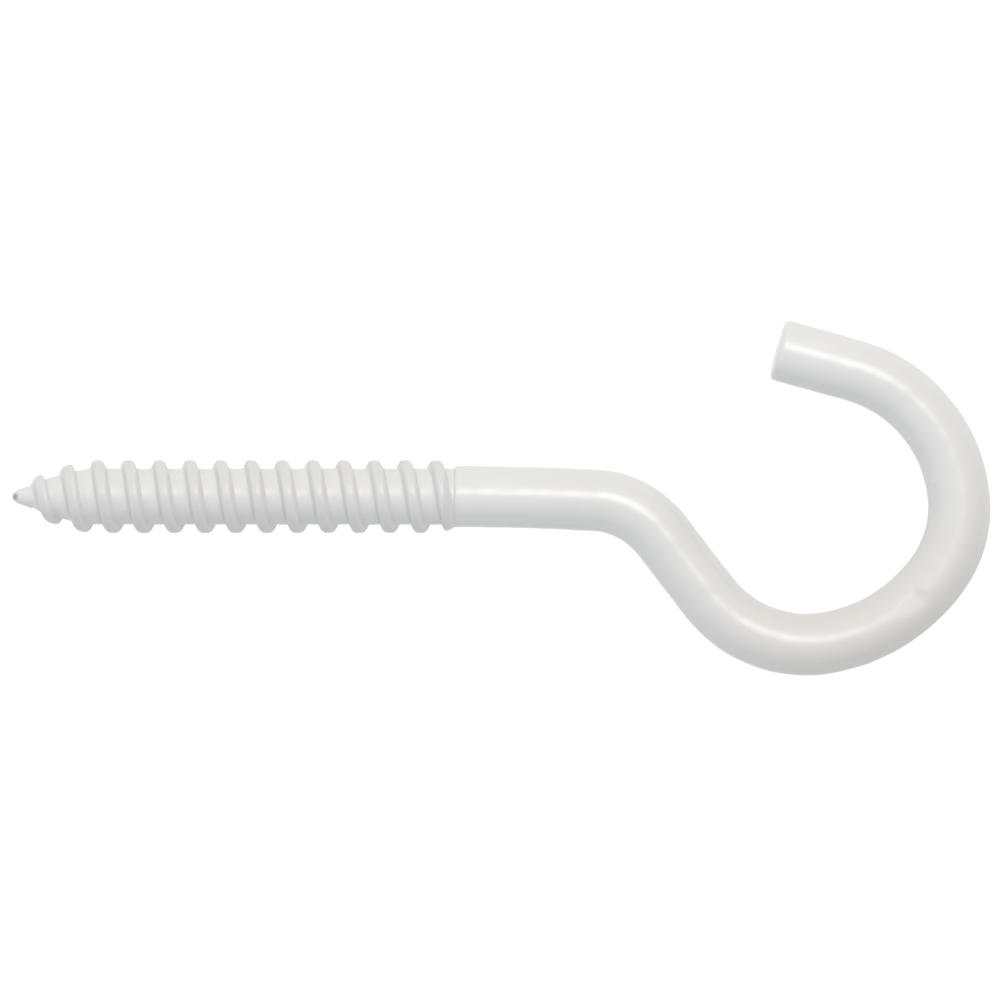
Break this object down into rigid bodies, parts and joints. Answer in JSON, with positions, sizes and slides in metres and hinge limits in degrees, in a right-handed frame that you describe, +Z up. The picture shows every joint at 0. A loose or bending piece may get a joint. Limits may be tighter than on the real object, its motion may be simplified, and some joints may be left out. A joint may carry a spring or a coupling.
{
  "type": "screw hook",
  "caption": "Open hook bent from round steel wire, with a coarse wood thread and gimlet point on its shank, coated white; screws into timber or a wall plug to hang things from.",
  "frame": {"origin": "on the screw's axis, where the thread meets the plain shank", "axes": "+X along the screw from its point towards the hook, +Y in the hook's plane towards its free end, +Z up and square to that plane; the hook lies on its side"},
  "size_m": [0.0802, 0.0291, 0.006],
  "materials": {
    "white_coat": "gloss white coat over steel wire, slightly uneven and softer over the thread"
  },
  "bodies": {
    "root": {"screw_hook": "white_coat"}
  },
  "joints": []
}
